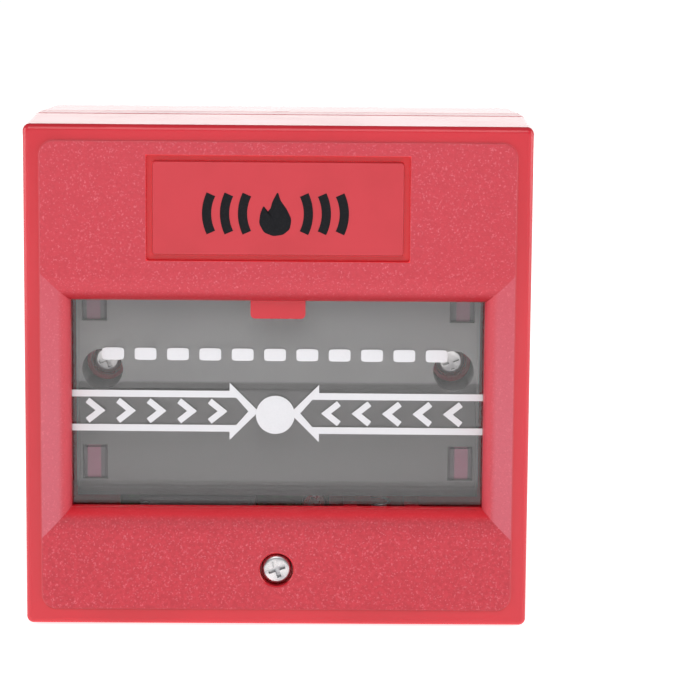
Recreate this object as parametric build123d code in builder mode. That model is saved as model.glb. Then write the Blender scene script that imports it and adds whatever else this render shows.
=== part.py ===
"""Surface-mounted manual call point in the 86 mm square format.

A square red housing of three shells (back box, middle frame, hinged cover) holds a clear press
plate behind a window.  The plate hangs on two trunnions; pressing it turns it inwards, and its rib
pushes the lever of a microswitch on a small circuit board.  A sprung slider above the key slot in
the cover's floor is pushed up by the reset key.

The origin is the centre of the wall face.  +Z is up, and the front faces -Y, so everything is
placed by its height above the wall: height h lies at y = -h.
"""

import os
from math import asin, cos, degrees, radians, tan

from build123d import *

os.makedirs("parts", exist_ok=True)

# ---------------------------------------------------------------- driving sizes, millimetres

ROOT = 0.5                  # how far a boss or rib runs into the wall it stands on
OVERCUT = 1.0               # how far a cutter runs past the face it opens
MOUTH = 0.01                # the same for a tapered cavity's open end

# Housing shells
BODY_SIZE = 86.0            # widest square, at the seam behind the cover
FACE_DRAFT = 0.4            # how far each side of the cover draws in towards the front face
BOX_DRAFT = 0.5             # how far each side of the back box draws in towards the wall
BOX_DEPTH = 22.0            # back box, wall to seam
BAND_DEPTH = 7.5            # visible band of the middle frame
COVER_DEPTH = 21.5          # cover, seam to rim
SEAM_GAP = 0.3
SHELL_CORNER = 1.2          # upright corner radius of the shells
RIM_ROUND = 1.0             # rounding of the cover's front edge
COVER_SEAM_CHAMFER = 0.4
BAND_SEAM_CHAMFER = 0.6
COVER_WALL = 2.4
BAND_WALL = 2.2
BOX_WALL = 2.6
LIP_WALL = 1.4              # locating lips between the shells
LIP_HEIGHT = 2.5
LIP_CLEARANCE = 0.4

# Cover face
RIM_WIDTH = 2.7             # smooth rim around the raised grained panel
PANEL_RISE = 0.4
PANEL_CORNER = 2.5
WINDOW_SIDE_MARGIN = 7.65   # face edge to window edge
WINDOW_TOP_MARGIN = 29.85
WINDOW_BOTTOM_MARGIN = 19.85
WINDOW_ROLL = 4.3           # radius of the rolled edge around the window
WINDOW_LAND = 0.5           # straight part of the window wall behind the roll
WINDOW_SURROUND = 1.5       # wall left outside the roll
TAB_WIDTH = 9.3
TAB_DROP = 3.05
TAB_THICKNESS = 1.0
TAB_CORNER = 0.8
LABEL_RECESS_WIDTH = 44.1
LABEL_RECESS_HEIGHT = 17.7
LABEL_RECESS_DEPTH = 1.3
LABEL_TOP_MARGIN = 5.0      # face edge to the label recess
LABEL_GROOVE = 1.05         # open groove around the label plate
LABEL_THICKNESS = 1.15
LABEL_CORNER = 0.5
LABEL_EDGE = 0.25           # rounding of the label plate's front edge

# Cover hinge: two tongues hook behind the middle frame's top wall
HINGE_DROP = 0.5            # hinge axis below the top surface
TONGUE_WIDTH = 8.0
TONGUE_THICKNESS = 1.6
TONGUE_REACH = 2.7          # length behind the cover's rear edge
TONGUE_ROOT = 4.0
TONGUE_INSET = 18.0         # face edge to tongue centre
TONGUE_CLEARANCE = 0.3
TONGUE_SIDE_PLAY = 0.8
TONGUE_SWEEP = 5.0          # depth of the notch that lets a tongue swing down

# Cover screw, captive in the cover, with a brass insert in the middle frame
SCREW_BOTTOM_MARGIN = 9.65  # face edge to screw axis
SCREW_SHANK_RADIUS = 1.5
SCREW_HEAD_RADIUS = 2.55
SCREW_HEAD_HEIGHT = 2.0
SCREW_SINK = 0.6            # head top below the panel
SCREW_WELL_RADIUS = 2.85
SCREW_WELL_CHAMFER = 0.25
SCREW_ENGAGEMENT = 4.5
THREAD_CLEARANCE = 0.1      # radial play of the cover screw in its insert and bore
COVER_BOSS_RADIUS = 3.8
COVER_BOSS_SETBACK = 2.9    # boss end in front of the cover's rear edge
RETAINER_RADIUS = 3.0
RETAINER_THICKNESS = 0.7
POST_RADIUS = 4.2
INSERT_RADIUS = 2.3
INSERT_DEPTH = 5.9
RECESS_WIDTH = 0.75         # arms of the cross recess
RECESS_SPAN = 3.0
RECESS_DEPTH = 1.1
RECESS_TURN = 20.0          # how the driven screws came to rest, degrees
CROWN_SHARE = 0.4           # rounding of a pan head as a share of its height
TIP_SHARE = 0.25            # bevel of a screw's tip as a share of its radius
NECK = 0.1                  # shank run into the head

# Press plate
PLATE_GAP = 0.4             # window wall to plate
PLATE_THICKNESS = 1.6
PLATE_SIDE_LAP = 1.95       # plate edge beyond the window edge
PLATE_TOP_LAP = 4.45
PLATE_BOTTOM_LAP = 2.45
PLATE_CORNER = 1.0
PIVOT_BELOW_TOP = 1.0
TRUNNION_RADIUS = 0.8
TRUNNION_LENGTH = 2.0
TRUNNION_CLEARANCE = 0.05
PRESS_ANGLE = 4.0           # full press, degrees
ARM_THICKNESS = 2.0
ARM_WIDTH = 6.0
ARM_GAP = 0.4               # plate edge to arm
ARM_FOOT = 3.0              # arm below the trunnion
RIB_ROOT = 0.2              # switch rib run into the plate

# Grey inner panel behind the plate
PLATE_TO_PANEL = 3.2
INNER_THICKNESS = 1.8
INNER_STEP = 0.7            # the lower field lies deeper than the upper one
INNER_STEP_DROP = 16.0      # window top to the step
INNER_SIDE_INSET = 0.35     # panel edge inside the window edge
INNER_TOP_LAP = 1.75
INNER_BOTTOM_INSET = 0.55
INNER_LEDGE = 1.9           # thinned strip along the bottom edge
INNER_LEDGE_STEP = 0.5
INNER_BEAD_WIDTH = 0.5
INNER_BEAD_RISE = 0.3
SLOT_WIDTH = 4.3
SLOT_HEIGHT = 6.0
SLOT_SIDE_INSET = 3.1       # panel edge to slot centre
SLOT_TOP_INSET = 3.1
SLOT_BOTTOM_INSET = 5.9
WELL_RADIUS = 3.5
COLLAR_WALL = 1.0           # tube that reaches back from the panel around each well

# Middle frame
FLOOR_SETBACK = 2.5         # rear edge of the band to the floor
FLOOR_THICKNESS = 2.2
CLIP_SHOULDER = 0.9         # shoulder of the panel clips around the slot
CLIP_CLEARANCE = 0.45       # clip to slot wall
CLIP_SINK = 0.9             # clip end below the grey panel's face

# Frame screws at the two posts of the back box
FRAME_SCREW_INSET = 12.85   # body edge to screw axis: 60.3 mm spacing
FRAME_SCREW_RADIUS = 1.5
FRAME_HEAD_RADIUS = 2.5
FRAME_HEAD_HEIGHT = 1.9
FRAME_BOSS_RADIUS = 3.4
FRAME_BOSS_SETBACK = 9.2    # boss end behind the grey panel
FRAME_HEAD_SINK = 0.3
HEAD_CLEARANCE = 0.3
FRAME_SCREW_BITE = 9.0
FIT = 0.05                  # radial clearance of fixed pins and screws in their holes
BOX_POST_RADIUS = 4.0

# Back box
WALL_HOLE_RADIUS = 2.25
WALL_HOLE_SPACING = 50.0
WALL_BOSS_RADIUS = 5.0
WALL_BOSS_HEIGHT = 1.0
CABLE_ENTRY_RADIUS = 10.0
PRY_SLOT_WIDTH = 2.7
PRY_SLOT_DEPTH = 0.8

# Circuit board with its screws
BOARD_WIDTH = 37.0
BOARD_HEIGHT = 22.0
BOARD_THICKNESS = 1.6
BOARD_CENTRE_X = -9.5
BOARD_CORNER = 1.0
STANDOFF = 1.5
STANDOFF_RADIUS = 2.4
BOARD_SCREW_RADIUS = 1.1
BOARD_HEAD_RADIUS = 2.0
BOARD_HEAD_HEIGHT = 1.4
BOARD_SCREW_LENGTH = 4.6
BOARD_SCREW_INSET = 2.8
BOARD_RISE = 0.8            # board edge above the switch's lower face
BOARD_RECESS_SPAN = 2.2
BOARD_RECESS_WIDTH = 0.5
BOARD_RECESS_DEPTH = 0.7
PIN_PROUD = 0.8             # solder pins past the board

# Microswitch, 19.8 x 6.4 x 10.2 mm size, lying across the board's lower edge
SWITCH_LENGTH = 19.8
SWITCH_THICKNESS = 6.4
SWITCH_HEIGHT = 10.2
SWITCH_LEFT = -23.8         # x of the end with the lever pivot
SWITCH_BELOW_PANEL = 0.4
SWITCH_CAP = 0.8
SWITCH_WALL = 1.4
SWITCH_FLOOR = 3.0
LEVER_INSET = 0.9           # switch end to lever pivot
LEVER_LIFT = 0.75           # pivot above the switch face
LEVER_PIN_RADIUS = 0.35
LEVER_EYE_RADIUS = 0.65
LEVER_CLEARANCE = 0.05
LEVER_THICKNESS = 0.4
LEVER_WIDTH = 3.2
LEVER_LENGTH = 18.2
LEVER_END_GAP = 0.166       # lever end to the plate at rest, which sets the lever's tilt
LUG_THICKNESS = 0.6
LUG_GAP = 0.15
NUB_ARM = 15.2              # lever pivot to the plate's rib
NUB_WIDTH = 3.0
NUB_HEIGHT = 1.8
NUB_GAP = 0.15
PLUNGER_ARM = 6.2           # lever pivot to plunger
PLUNGER_RADIUS = 1.0
PLUNGER_CLEARANCE = 0.05
PLUNGER_ROUND = 0.3
PLUNGER_ROOM = 1.6          # plunger to the leaf at rest
PLUNGER_GAP = 0.1
CONTACT_PITCH = 6.9
CONTACT_WIDTH = 3.0
CONTACT_THICKNESS = 0.6
CONTACT_PIN_RADIUS = 0.5
BLADE_THICKNESS = 0.25
LEAF_RISE = 1.35            # leaf above its contact

# Four-way terminal block through the floor of the middle frame
TERMINAL_WAYS = 4
TERMINAL_PITCH = 5.0
TERMINAL_HEIGHT = 8.0
TERMINAL_DEPTH = 9.5
TERMINAL_CENTRE_X = -12.0
TERMINAL_BELOW_TOP = 8.0    # board top edge to block centre
WIRE_HOLE = 3.4
CLAMP_SIZE = 3.2
CLAMP_DEPTH = 4.0
CLAMP_WALL = 0.35
CLAMP_NUT = 1.2             # thick end of the clamp, threaded for its screw
CLAMP_END = 0.5
CLAMP_COVER = 1.2           # block left between the clamp and the board
TERMINAL_SCREW_RADIUS = 1.2
TERMINAL_HEAD_RADIUS = 1.7
TERMINAL_HEAD_HEIGHT = 1.2
TERMINAL_SCREW_BITE = 1.8
TERMINAL_SLOT = 0.6         # width and depth of the screwdriver slot
TERMINAL_PIN_RADIUS = 0.5

# Reset slider with its spring, over the key slot
SLIDER_X = 18.0
SLIDER_WIDTH = 10.0
SLIDER_THICKNESS = 1.8
SLIDER_LENGTH = 9.5
SLIDER_TONGUE = 1.1         # slider edge inside the rail groove
SLIDER_CLEARANCE = 0.25
SLIDER_TRAVEL = 3.0
SLIDER_RISE = 10.0          # floor to the slider's middle plane
SLIDER_FLOOR_GAP = 3.2      # slider above the cover's bottom wall
SLIDER_PIN_RADIUS = 1.0
SLIDER_PIN_LENGTH = 3.5
RAIL_WIDTH = 2.4
RAIL_LENGTH = 14.0
RAIL_WALL = 1.3
SPRING_RADIUS = 1.7
SPRING_WIRE = 0.22
SPRING_LENGTH = 9.6
SPRING_PITCH = 1.6
SHELF_WIDTH = 8.0
SHELF_THICKNESS = 1.6
KEY_SLOT_WIDTH = 7.0
KEY_SLOT_HEIGHT = 2.0
KEY_SLOT_CORNER = 0.8

# ---------------------------------------------------------------- heights above the wall

box_front = BOX_DEPTH
band_rear = box_front + SEAM_GAP
band_front = band_rear + BAND_DEPTH
cover_rear = band_front + SEAM_GAP
rim_front = cover_rear + COVER_DEPTH
panel_front = rim_front + PANEL_RISE
lip_rear = panel_front - WINDOW_ROLL - WINDOW_LAND
plate_front = lip_rear - PLATE_GAP
plate_rear = plate_front - PLATE_THICKNESS
plate_middle = (plate_front + plate_rear) / 2
inner_front = plate_rear - PLATE_TO_PANEL
inner_rear = inner_front - INNER_THICKNESS
floor_rear = band_rear + FLOOR_SETBACK
floor_front = floor_rear + FLOOR_THICKNESS
board_rear = floor_front + STANDOFF
board_front = board_rear + BOARD_THICKNESS
switch_front = board_front + SWITCH_HEIGHT
leaf_base = board_front + SWITCH_FLOOR + CONTACT_THICKNESS
leaf_height = leaf_base + LEAF_RISE

# ---------------------------------------------------------------- places across the face

body_half = BODY_SIZE / 2
face_half = body_half - FACE_DRAFT
face_size = 2 * face_half
wall_size = BODY_SIZE - 2 * BOX_DRAFT
cover_inner_half = body_half - COVER_WALL
band_inner_half = body_half - BAND_WALL
box_inner_half = body_half - BOX_WALL

window_half = face_half - WINDOW_SIDE_MARGIN
window_top = face_half - WINDOW_TOP_MARGIN
window_bottom = WINDOW_BOTTOM_MARGIN - face_half
window_middle = (window_top + window_bottom) / 2
window_half_height = (window_top - window_bottom) / 2

plate_half = window_half + PLATE_SIDE_LAP
plate_top = window_top + PLATE_TOP_LAP
plate_bottom = window_bottom - PLATE_BOTTOM_LAP
pivot_z = plate_top - PIVOT_BELOW_TOP
arm_inner = plate_half + ARM_GAP

inner_half = window_half - INNER_SIDE_INSET
inner_top = window_top + INNER_TOP_LAP
inner_bottom = window_bottom + INNER_BOTTOM_INSET
inner_step_z = window_top - INNER_STEP_DROP
slot_x = inner_half - SLOT_SIDE_INSET
slot_places = [
    (side * slot_x, level)
    for level in (inner_top - SLOT_TOP_INSET, inner_bottom + SLOT_BOTTOM_INSET)
    for side in (-1, 1)
]
frame_screw_x = body_half - FRAME_SCREW_INSET
frame_screw_places = [(-frame_screw_x, 0), (frame_screw_x, 0)]
wall_hole_places = [(0, -WALL_HOLE_SPACING / 2), (0, WALL_HOLE_SPACING / 2)]

screw_z = SCREW_BOTTOM_MARGIN - face_half
cover_boss_end = cover_rear + COVER_BOSS_SETBACK
retainer_front = cover_boss_end - THREAD_CLEARANCE
retainer_rear = retainer_front - RETAINER_THICKNESS
post_front = retainer_rear - SEAM_GAP
screw_head_top = panel_front - SCREW_SINK
screw_head_base = screw_head_top - SCREW_HEAD_HEIGHT
screw_tip = post_front - SCREW_ENGAGEMENT
label_z = face_half - LABEL_TOP_MARGIN - LABEL_RECESS_HEIGHT / 2
label_floor = panel_front - LABEL_RECESS_DEPTH

tongue_x = face_half - TONGUE_INSET
tongue_top = band_inner_half - TONGUE_CLEARANCE
tongue_z = tongue_top - TONGUE_THICKNESS / 2

switch_z = inner_bottom - SWITCH_BELOW_PANEL - SWITCH_THICKNESS / 2
switch_x = SWITCH_LEFT + SWITCH_LENGTH / 2
lever_x = SWITCH_LEFT + LEVER_INSET
lever_height = switch_front + LEVER_LIFT
lever_rise = plate_rear - LEVER_END_GAP - LEVER_THICKNESS / 2 - lever_height
lever_tilt = asin(lever_rise / LEVER_LENGTH)
nub_x = lever_x + NUB_ARM
plunger_x = lever_x + PLUNGER_ARM
plunger_tip = (
    lever_height
    + (PLUNGER_ARM - PLUNGER_RADIUS) * tan(lever_tilt)
    - LEVER_THICKNESS / 2 / cos(lever_tilt)
    - PLUNGER_GAP
)

board_bottom = switch_z - SWITCH_THICKNESS / 2 + BOARD_RISE
board_z = board_bottom + BOARD_HEIGHT / 2
board_top = board_bottom + BOARD_HEIGHT
board_screw_places = [
    (BOARD_CENTRE_X - BOARD_WIDTH / 2 + BOARD_SCREW_INSET, board_top - BOARD_SCREW_INSET),
    (BOARD_CENTRE_X + BOARD_WIDTH / 2 - BOARD_SCREW_INSET, board_top - BOARD_SCREW_INSET),
    (BOARD_CENTRE_X + BOARD_WIDTH / 2 - BOARD_SCREW_INSET, board_bottom + BOARD_SCREW_INSET),
]
terminal_z = board_top - TERMINAL_BELOW_TOP
terminal_rear = board_rear - TERMINAL_DEPTH
terminal_width = TERMINAL_WAYS * TERMINAL_PITCH
terminal_places = [
    (TERMINAL_CENTRE_X + (way - (TERMINAL_WAYS - 1) / 2) * TERMINAL_PITCH, terminal_z)
    for way in range(TERMINAL_WAYS)
]
contact_places = [(switch_x + step * CONTACT_PITCH, switch_z) for step in (-1, 0, 1)]

slider_bottom = SLIDER_FLOOR_GAP - cover_inner_half
slider_top = slider_bottom + SLIDER_LENGTH
slider_height = floor_front + SLIDER_RISE
spring_top = slider_top + SPRING_LENGTH
rail_x = SLIDER_WIDTH / 2 - SLIDER_TONGUE + SLIDER_CLEARANCE + RAIL_WIDTH / 2
rail_front = slider_height + SLIDER_THICKNESS / 2 + SLIDER_CLEARANCE + RAIL_WALL


# ---------------------------------------------------------------- shapes used more than once


def wall_plane(height):
    """Plane parallel to the wall at a height above it: local x is X, local y is Z."""
    return Plane.XZ.offset(height)


def slab(width, tall, low, high, centre=(0, 0), corner=0.0):
    """Block between two heights, with upright edges rounded when a corner is given."""
    with BuildPart() as shape:
        with BuildSketch(wall_plane(low)):
            with Locations(centre):
                if corner > 0:
                    RectangleRounded(width, tall, corner)
                else:
                    Rectangle(width, tall)
        extrude(amount=high - low)
    return shape.part


def spans(x_low, x_high, z_low, z_high, low, high):
    """Block given by its limits in x, z and height."""
    centre = ((x_low + x_high) / 2, (z_low + z_high) / 2)
    return slab(x_high - x_low, z_high - z_low, low, high, centre)


def rod(radius, low, high, centre=(0, 0)):
    """Round bar standing on the wall plane between two heights."""
    with BuildPart() as shape:
        with BuildSketch(wall_plane(low)):
            with Locations(centre):
                Circle(radius)
        extrude(amount=high - low)
    return shape.part


def drafted(low, low_size, high, high_size, corner):
    """Square block whose sides lean evenly from one size to another."""
    with BuildPart() as shape:
        with BuildSketch(wall_plane(low)):
            RectangleRounded(low_size, low_size, corner)
        with BuildSketch(wall_plane(high)):
            RectangleRounded(high_size, high_size, corner)
        loft()
    return shape.part


def bevelled_end(end, base):
    """Thin square block that narrows at 45 degrees from the body size at its base to its end."""
    bevel = abs(end - base)
    sizes = {base: (BODY_SIZE, SHELL_CORNER), end: (BODY_SIZE - 2 * bevel, SHELL_CORNER - bevel)}
    low, high = sorted((base, end))
    with BuildPart() as shape:
        with BuildSketch(wall_plane(low)):
            RectangleRounded(sizes[low][0], sizes[low][0], sizes[low][1])
        with BuildSketch(wall_plane(high)):
            RectangleRounded(sizes[high][0], sizes[high][0], sizes[high][1])
        loft()
    return shape.part


def frame_ring(outer_half, wall, low, high):
    """Square lip of constant wall between two heights."""
    with BuildPart() as shape:
        with BuildSketch(wall_plane(low)):
            Rectangle(2 * outer_half, 2 * outer_half)
            Rectangle(2 * (outer_half - wall), 2 * (outer_half - wall), mode=Mode.SUBTRACT)
        extrude(amount=high - low)
    return shape.part


def roll_prism(plane, half, length):
    """Prism whose half width grows along a quarter circle towards the front of the panel."""
    roll_start = panel_front - WINDOW_ROLL
    low = lip_rear - OVERCUT
    top = panel_front + OVERCUT
    with BuildPart() as shape:
        with BuildSketch(plane):
            with BuildLine():
                Polyline((0, top), (0, low), (half, low), (half, roll_start))
                RadiusArc((half, roll_start), (half + WINDOW_ROLL, panel_front), WINDOW_ROLL)
                Polyline((half + WINDOW_ROLL, panel_front), (half + WINDOW_ROLL, top), (0, top))
            make_face()
            mirror(about=Plane.YZ)
        extrude(amount=length, both=True)
    return shape.part


def cross_recess(head_top, centre, span, width, depth, turn):
    """Cutter for the cross recess of a screw head."""
    with BuildPart() as shape:
        with BuildSketch(wall_plane(head_top - depth)):
            with Locations(Location((centre[0], centre[1], 0), (0, 0, turn))):
                Rectangle(span, width)
                Rectangle(width, span)
        extrude(amount=depth + OVERCUT)
    return shape.part


def pan_head_screw(head_top, head_radius, head_height, shank_radius, tip, centre, recess):
    """Screw with a rounded pan head and a cross recess; the thread is a plain cylinder."""
    with BuildPart() as shape:
        add(rod(head_radius, head_top - head_height, head_top, centre))
        crown = shape.edges().filter_by(GeomType.CIRCLE).sort_by(Axis.Y)[0]
        fillet(crown, CROWN_SHARE * head_height)
        add(rod(shank_radius, tip, head_top - head_height + NECK, centre))
        end = shape.edges().filter_by(GeomType.CIRCLE).sort_by(Axis.Y)[-1]
        chamfer(end, TIP_SHARE * shank_radius)
        add(cross_recess(head_top, centre, *recess, RECESS_TURN), mode=Mode.SUBTRACT)
    return shape.part


def finish(piece, name):
    """Name a finished sub-part and write it."""
    piece.part.label = name
    export_step(piece.part, f"parts/{name}.step")


# ---------------------------------------------------------------- front cover

# Window cutter: two rolled prisms crossed, so that the rolls meet in mitred corners
side_profile = Plane((0, 0, window_middle), x_dir=(1, 0, 0), z_dir=(0, 0, -1))
top_profile = Plane((0, 0, window_middle), x_dir=(0, 0, 1), z_dir=(1, 0, 0))
with BuildPart() as window_cutter:
    add(roll_prism(side_profile, window_half, body_half))
    add(roll_prism(top_profile, window_half_height, BODY_SIZE), mode=Mode.INTERSECT)

surround_half = window_half + WINDOW_ROLL + WINDOW_SURROUND
surround_half_height = window_half_height + WINDOW_ROLL + WINDOW_SURROUND
cover_front_inside = rim_front - COVER_WALL
with BuildPart() as front_cover:
    chamfer_end = cover_rear + COVER_SEAM_CHAMFER
    add(drafted(chamfer_end, BODY_SIZE, rim_front, face_size, SHELL_CORNER))
    fillet(front_cover.faces().sort_by(Axis.Y)[0].edges(), RIM_ROUND)
    add(bevelled_end(cover_rear, chamfer_end))
    cavity_front = 2 * (face_half - COVER_WALL)
    add(
        drafted(cover_rear - MOUTH, 2 * cover_inner_half, cover_front_inside, cavity_front, SHELL_CORNER),
        mode=Mode.SUBTRACT,
    )
    # raised grained panel
    panel_size = 2 * (face_half - RIM_WIDTH)
    add(slab(panel_size, panel_size, cover_front_inside + ROOT, panel_front, corner=PANEL_CORNER))
    # wall around the window, then the rolled opening
    surround_low = window_middle - surround_half_height
    surround_high = window_middle + surround_half_height
    surround_front = rim_front - ROOT
    add(spans(-surround_half, surround_half, surround_low, surround_high, lip_rear, surround_front))
    add(window_cutter.part, mode=Mode.SUBTRACT)
    # tab hanging from the middle of the window's upper edge
    tab_low = window_top - TAB_DROP
    with BuildSketch(wall_plane(lip_rear)):
        with Locations((0, (tab_low + window_top + 2 * TAB_CORNER) / 2)):
            RectangleRounded(TAB_WIDTH, window_top + 2 * TAB_CORNER - tab_low, TAB_CORNER)
    extrude(amount=TAB_THICKNESS)
    # recess for the label plate
    recess_top = panel_front + OVERCUT
    recess_centre = (0, label_z)
    add(
        slab(LABEL_RECESS_WIDTH, LABEL_RECESS_HEIGHT, label_floor, recess_top, recess_centre, LABEL_CORNER),
        mode=Mode.SUBTRACT,
    )
    # boss, well and bore for the cover screw
    add(rod(COVER_BOSS_RADIUS, cover_boss_end, surround_front, (0, screw_z)))
    well_floor = screw_head_base - FIT
    add(rod(SCREW_WELL_RADIUS, well_floor, recess_top, (0, screw_z)), mode=Mode.SUBTRACT)
    mouth = (
        front_cover.edges()
        .filter_by(GeomType.CIRCLE)
        .filter_by(lambda e: abs(e.radius - SCREW_WELL_RADIUS) < MOUTH)
        .sort_by(Axis.Y)[0]
    )
    chamfer(mouth, SCREW_WELL_CHAMFER)
    shank_bore = SCREW_SHANK_RADIUS + THREAD_CLEARANCE
    add(rod(shank_bore, cover_boss_end - OVERCUT, panel_front, (0, screw_z)), mode=Mode.SUBTRACT)
    # hinge tongues, rooted on pads under the top wall
    for side in (-1, 1):
        left = side * tongue_x - TONGUE_WIDTH / 2
        right = side * tongue_x + TONGUE_WIDTH / 2
        pad_top = cover_inner_half + ROOT
        tongue_low = tongue_top - TONGUE_THICKNESS
        tongue_root = cover_rear + TONGUE_ROOT
        tongue_tip = cover_rear - TONGUE_REACH
        add(spans(left, right, tongue_low, pad_top, cover_rear, tongue_root))
        add(spans(left, right, tongue_low, tongue_top, tongue_tip, tongue_root))
    # key slot through the bottom wall, under the reset slider
    with BuildSketch(Plane.XY.offset(-body_half - OVERCUT)):
        with Locations((SLIDER_X, -slider_height)):
            RectangleRounded(KEY_SLOT_WIDTH, KEY_SLOT_HEIGHT, KEY_SLOT_CORNER)
    extrude(amount=COVER_WALL + 2 * OVERCUT, mode=Mode.SUBTRACT)
finish(front_cover, "front_cover")

with BuildPart() as label_plate:
    add(
        slab(
            LABEL_RECESS_WIDTH - 2 * LABEL_GROOVE,
            LABEL_RECESS_HEIGHT - 2 * LABEL_GROOVE,
            label_floor,
            label_floor + LABEL_THICKNESS,
            (0, label_z),
            LABEL_CORNER,
        )
    )
    fillet(label_plate.faces().sort_by(Axis.Y)[0].edges(), LABEL_EDGE)
finish(label_plate, "label_plate")

# ---------------------------------------------------------------- cover screw and its fixings

with BuildPart() as cover_screw:
    add(
        pan_head_screw(
            screw_head_top,
            SCREW_HEAD_RADIUS,
            SCREW_HEAD_HEIGHT,
            SCREW_SHANK_RADIUS,
            screw_tip,
            (0, screw_z),
            (RECESS_SPAN, RECESS_WIDTH, RECESS_DEPTH),
        )
    )
finish(cover_screw, "cover_screw")

with BuildPart() as screw_retainer:
    add(rod(RETAINER_RADIUS, retainer_rear, retainer_front, (0, screw_z)))
    hole_low = retainer_rear - OVERCUT
    hole_high = retainer_front + OVERCUT
    add(rod(SCREW_SHANK_RADIUS, hole_low, hole_high, (0, screw_z)), mode=Mode.SUBTRACT)
finish(screw_retainer, "screw_retainer")

insert_rear = post_front - INSERT_DEPTH
with BuildPart() as screw_insert:
    add(rod(INSERT_RADIUS, insert_rear, post_front, (0, screw_z)))
    bore_end = post_front + OVERCUT
    add(rod(shank_bore, insert_rear - OVERCUT, bore_end, (0, screw_z)), mode=Mode.SUBTRACT)
finish(screw_insert, "screw_insert")

# ---------------------------------------------------------------- middle frame

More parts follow.
